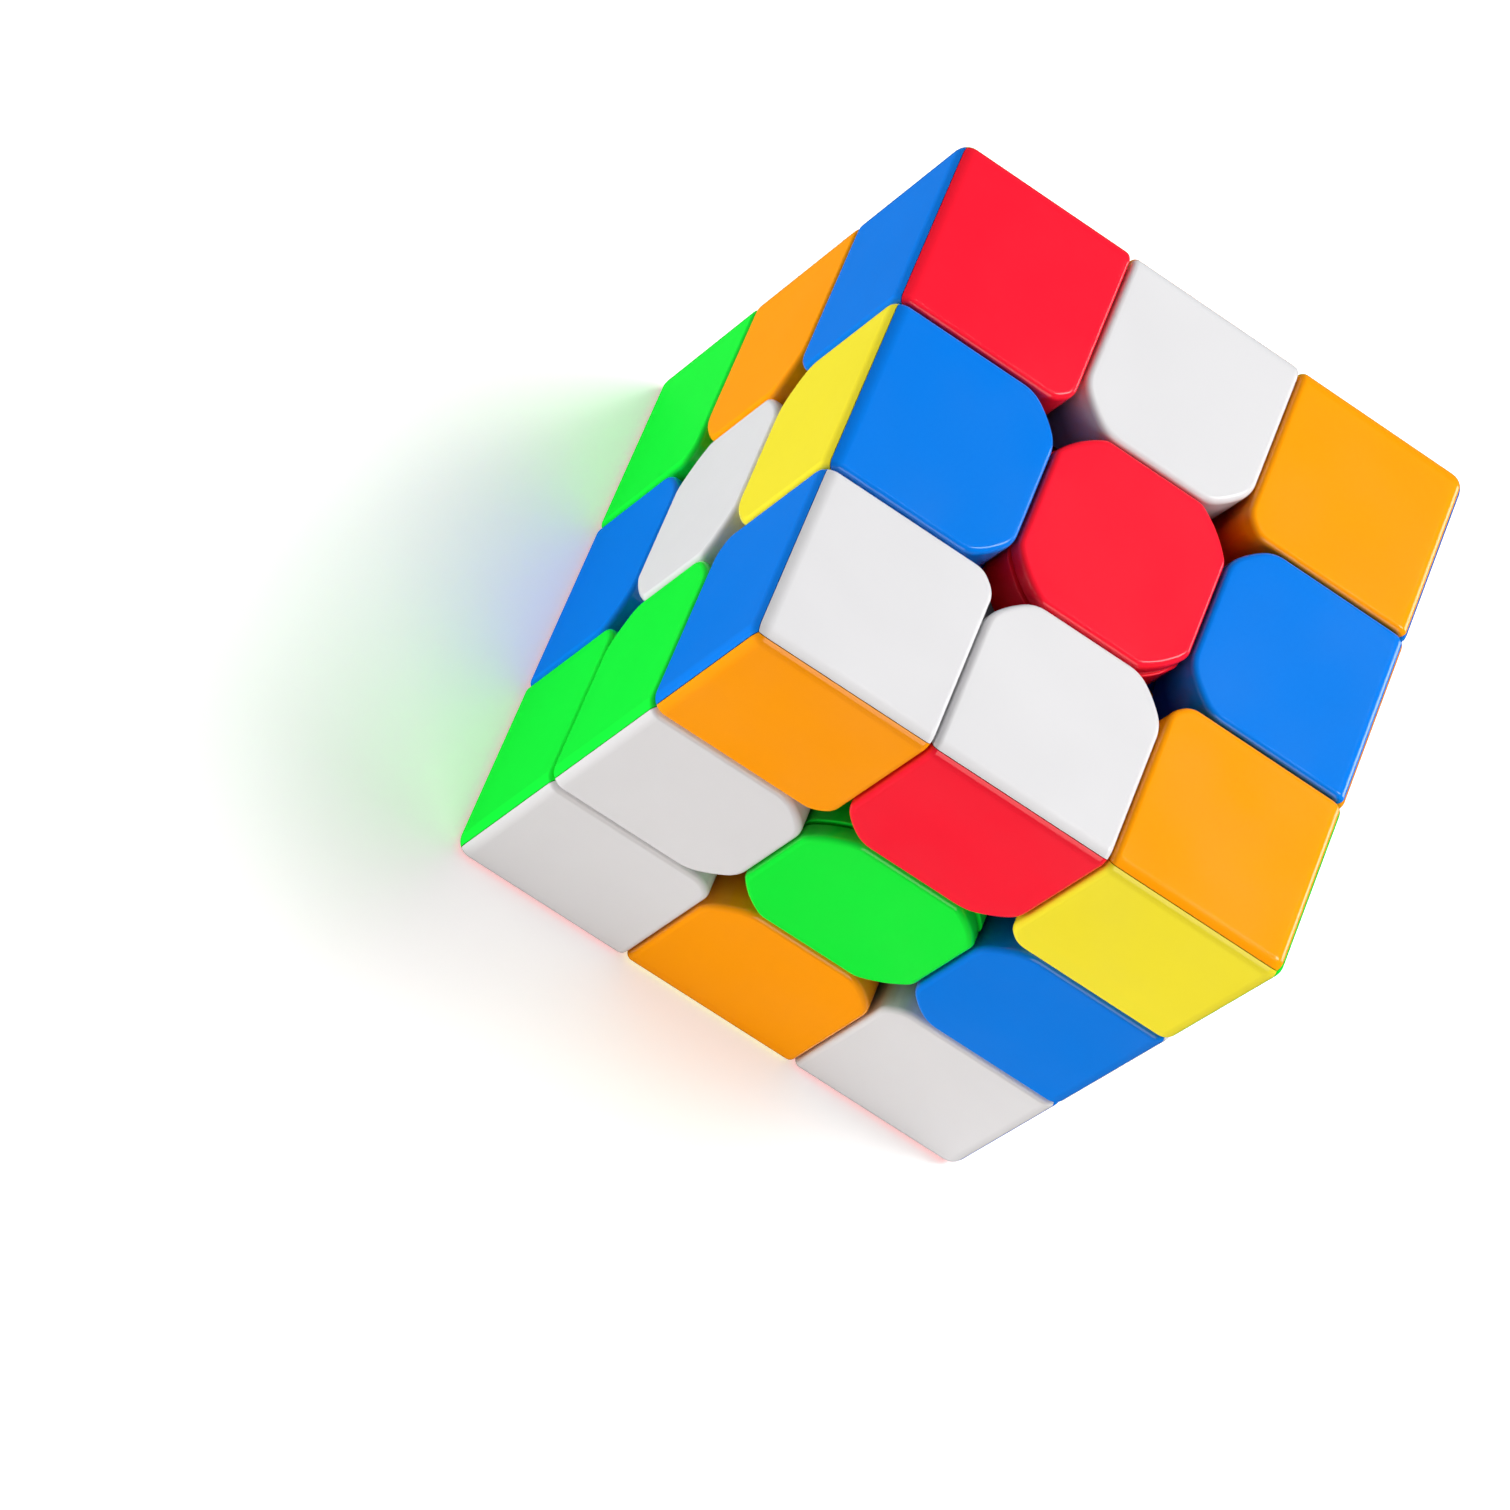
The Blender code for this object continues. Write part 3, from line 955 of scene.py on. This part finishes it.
def floor_material():
    """Pale paper with a faint glow, which fades into the backdrop farther out."""
    material = bpy.data.materials.new("floor")
    material.use_nodes = True
    tree = material.node_tree
    shader = tree.nodes["Principled BSDF"]
    coords = tree.nodes.new("ShaderNodeTexCoord")
    distance = tree.nodes.new("ShaderNodeVectorMath")
    distance.operation = "LENGTH"
    tree.links.new(coords.outputs["Object"], distance.inputs[0])
    paper = tree.nodes.new("ShaderNodeMix")
    paper.data_type = "RGBA"
    paper.inputs["B"].default_value = (0, 0, 0, 1)
    fade = map_range(tree, distance.outputs["Value"], FLOOR_FADE, (0, 1))
    tree.links.new(fade, paper.inputs["Factor"])
    paper_tone = dimmed_in_reflections(tree, FLOOR_TONE, FLOOR_REFLECTED)
    tree.links.new(paper_tone, paper.inputs["A"])
    tree.links.new(paper.outputs["Result"], shader.inputs["Base Color"])
    glow = map_range(tree, fade, (0, 1), (FLOOR_GLOW, WORLD_SEEN))
    tree.links.new(glow, shader.inputs["Emission Strength"])
    glow_tone = dimmed_in_reflections(tree, 1.0, FLOOR_REFLECTED)
    tree.links.new(glow_tone, shader.inputs["Emission Color"])
    shader.inputs["Roughness"].default_value = 0.6
    shader.inputs["Specular IOR Level"].default_value = 0
    return material


def stage_plane(name, bm, height, material):
    bm.transform(Matrix.Translation((0, 0, height)))
    plane = bpy.data.objects.new(name, mesh_from(bm, name))
    bpy.context.collection.objects.link(plane)
    plane.data.materials.append(material)
    return plane


def make_floor():
    """Round floor that the low lamp shines through, on a pad that shades the underside."""
    material = floor_material()
    disc = bmesh.new()
    bmesh.ops.create_circle(
        disc, cap_ends=True, segments=FLOOR_SEGMENTS, radius=FLOOR_RADIUS
    )
    floor = stage_plane("floor", disc, cad_box[0].z - FLOOR_GAP, material)
    floor.visible_shadow = False
    square = bmesh.new()
    bmesh.ops.create_grid(square, x_segments=1, y_segments=1, size=HALF + PAD_MARGIN)
    stage_plane("pad", square, cad_box[0].z - 2 * FLOOR_GAP, material)


def make_world():
    """Even surroundings, paler to the camera than in the light they give."""
    world = bpy.data.worlds.new("studio")
    bpy.context.scene.world = world
    world.use_nodes = True
    tree = world.node_tree
    background = tree.nodes["Background"]
    tone = dimmed_in_reflections(tree, 1.0, WORLD_REFLECTED)
    tree.links.new(tone, background.inputs["Color"])
    seen = tree.nodes.new("ShaderNodeLightPath").outputs["Is Camera Ray"]
    strength = map_range(tree, seen, (0, 1), (WORLD_LIGHT, WORLD_SEEN))
    tree.links.new(strength, background.inputs["Strength"])


def area_light(name, direction, size, power, colour=(1, 1, 1)):
    """Lamp of a width and height that faces the cube from a direction."""
    light = bpy.data.lights.new(name, "AREA")
    light.shape = "RECTANGLE"
    light.size, light.size_y = size
    light.energy = power
    light.color = colour
    lamp = bpy.data.objects.new(name, light)
    bpy.context.collection.objects.link(lamp)
    direction = Vector(direction).normalized()
    lamp.location = direction * LIGHT_DISTANCE
    lamp.rotation_mode = "QUATERNION"
    lamp.rotation_quaternion = (-direction).to_track_quat("-Z", "Y")
    lamp.visible_camera = False
    return lamp


def make_lights():
    """Soft lamps that light the cube, of which only some are seen in its gloss.

    The left lamp stands low and shines through the floor, as light off a pale table does.
    """
    key = area_light("key_softbox", (0.45, 0.30, 0.84), (0.6, 0.6), 9.9)
    key.visible_glossy = False
    left = area_light("left_fill", (-1, -0.1, -0.7), (0.7, 0.7), 9.7)
    left.visible_glossy = False
    area_light("front_softbox", (0.27, -0.89, 0.38), (0.6, 0.6), 2.6, (1.0, 0.89, 0.82))
    glint = area_light("top_glint", (0.59, 0.25, 0.77), (0.20, 0.40), 1.8)
    glint.visible_diffuse = False
    rim = area_light("rim_strip", (0.83, 0.53, 0.15), (0.25, 0.25), 0.9)
    rim.visible_diffuse = False


place_corners()
place_edges()
place_centres()
place_fittings()
make_floor()
make_world()
make_lights()
make_camera()
bpy.context.scene.view_settings.view_transform = "Standard"
